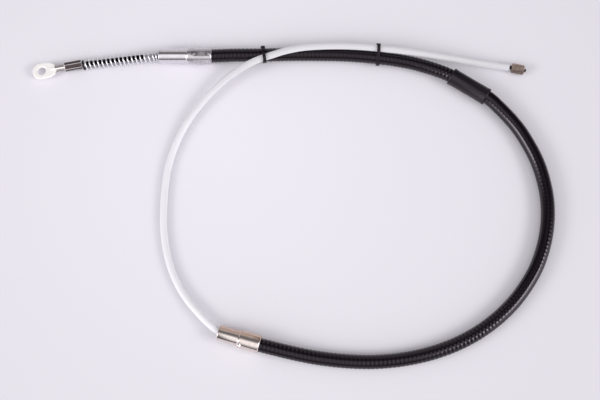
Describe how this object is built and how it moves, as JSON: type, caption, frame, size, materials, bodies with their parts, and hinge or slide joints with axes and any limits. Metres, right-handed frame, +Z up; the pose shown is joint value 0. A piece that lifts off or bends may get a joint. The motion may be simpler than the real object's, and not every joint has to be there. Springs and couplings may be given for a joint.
{
  "type": "parking brake cable",
  "caption": "Parking brake cable: black conduit with crimped ferrules, eye end with return spring, and a white guide tube ending in a cylindrical stop, tied in a loop.",
  "frame": {"origin": "middle of the bounding box seen from above, at the floor the cable lies on", "axes": "+X along the cable's longest extent, from the eye towards the end nipple; +Y away from the viewer, towards the tied top run; +Z up, the shortest extent"},
  "size_m": [0.4172, 0.2634, 0.0183],
  "materials": {
    "eye_steel": "bright zinc plate, forged",
    "crimp_steel": "dark phosphated, pressed",
    "black_plastic": "semi-gloss extruded",
    "spring_steel": "bright galvanised wire",
    "rope_steel": "galvanised wire rope",
    "zinc_steel": "bright zinc plate",
    "coil_steel": "wound flat wire",
    "liner_plastic": "natural extruded",
    "black_rubber": "matte",
    "nickel_steel": "warm nickel plate",
    "white_plastic": "smooth extruded",
    "nipple_steel": "dark turned steel",
    "tie_plastic": "moulded nylon"
  },
  "bodies": {
    "conduit": {"conduit_jacket": "black_plastic", "conduit_coil": "coil_steel", "conduit_liner": "liner_plastic", "wheel_end_ferrule": "zinc_steel", "lever_end_ferrule": "nickel_steel", "rubber_sleeve": "black_rubber", "guide_tube": "white_plastic", "cable_tie_1": "tie_plastic", "cable_tie_2": "tie_plastic", "return_spring": "spring_steel", "inner_wire": "rope_steel"},
    "eye_end": {"eye_terminal": "eye_steel", "crimp_sleeve": "crimp_steel", "wire_guard_sleeve": "black_plastic"},
    "nipple_end": {"end_nipple": "nipple_steel"}
  },
  "joints": [
    {"name": "eye_slide", "type": "slide", "parent": "conduit", "child": "eye_end", "axis": [0.9932, 0.1095, 0.0397], "range_m": [0, 0.014], "stiffness_N_per_m": 3000, "springref_m": -0.004, "deforming": ["return_spring", "inner_wire"]},
    {"name": "nipple_slide", "type": "slide", "parent": "conduit", "child": "nipple_end", "axis": [0.9763, -0.2164, 0], "range_m": [0, 0.014], "deforming": ["inner_wire"]}
  ],
  "couplings": [
    {"joint": "nipple_slide", "follows": "eye_slide", "ratio": 1}
  ]
}
